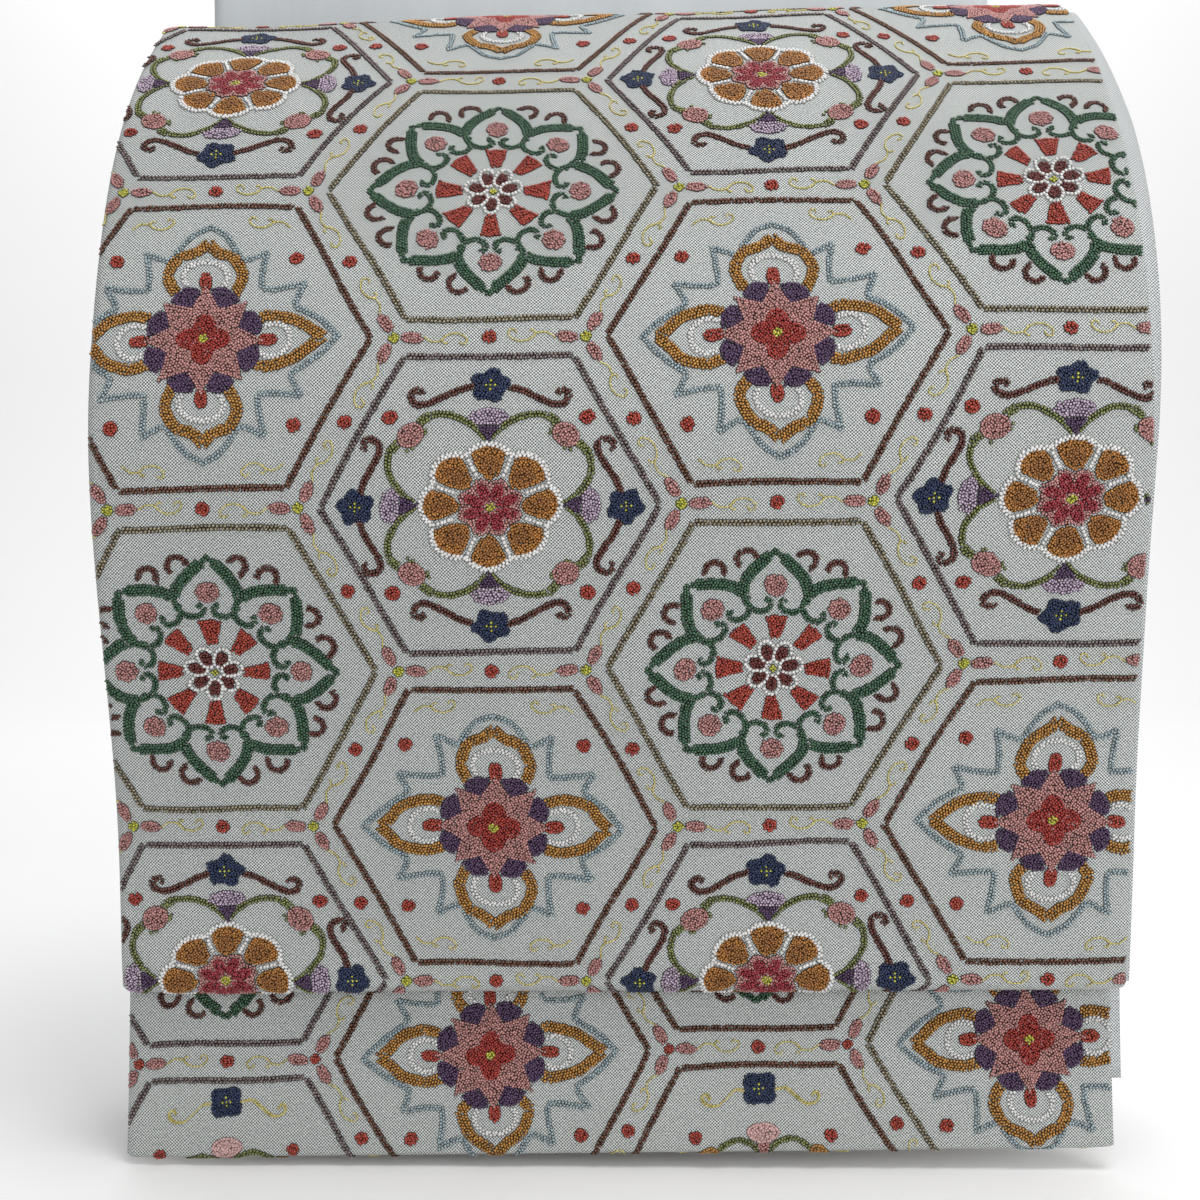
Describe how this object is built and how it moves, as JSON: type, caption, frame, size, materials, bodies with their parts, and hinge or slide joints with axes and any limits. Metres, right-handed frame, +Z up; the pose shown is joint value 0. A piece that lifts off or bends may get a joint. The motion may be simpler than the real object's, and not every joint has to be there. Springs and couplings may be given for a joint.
{
  "type": "obi sash on display stand",
  "caption": "Figured obi sash folded into a drum bow with its tail below, laid over a padded rail on a cloth-covered display stand.",
  "frame": {"origin": "middle of the underside of the stand's foot, on the table", "axes": "+Z up; -Y towards the viewer of the drum's face; +X to that viewer's right, across the sash"},
  "size_m": [0.3135, 0.2014, 0.44],
  "materials": {
    "figured_cloth": "pale silver-grey crepe weave under raised knotted embroidery",
    "plain_cloth": "plain pale back cloth",
    "cover_cloth": "soft satin cover cloth, lightly wrinkled",
    "pale_wood": "plain oiled light wood"
  },
  "bodies": {
    "root": {"drum_front": "figured_cloth", "drum_back_cloth": "plain_cloth", "inner_fold": "plain_cloth", "tare_front": "figured_cloth", "tare_back_cloth": "plain_cloth", "folded_rest": "figured_cloth", "stand_foot": "pale_wood", "stand_post_left": "pale_wood", "stand_post_right": "pale_wood", "stand_bar": "pale_wood", "stand_pad": "cover_cloth", "stand_board": "cover_cloth"}
  },
  "joints": []
}
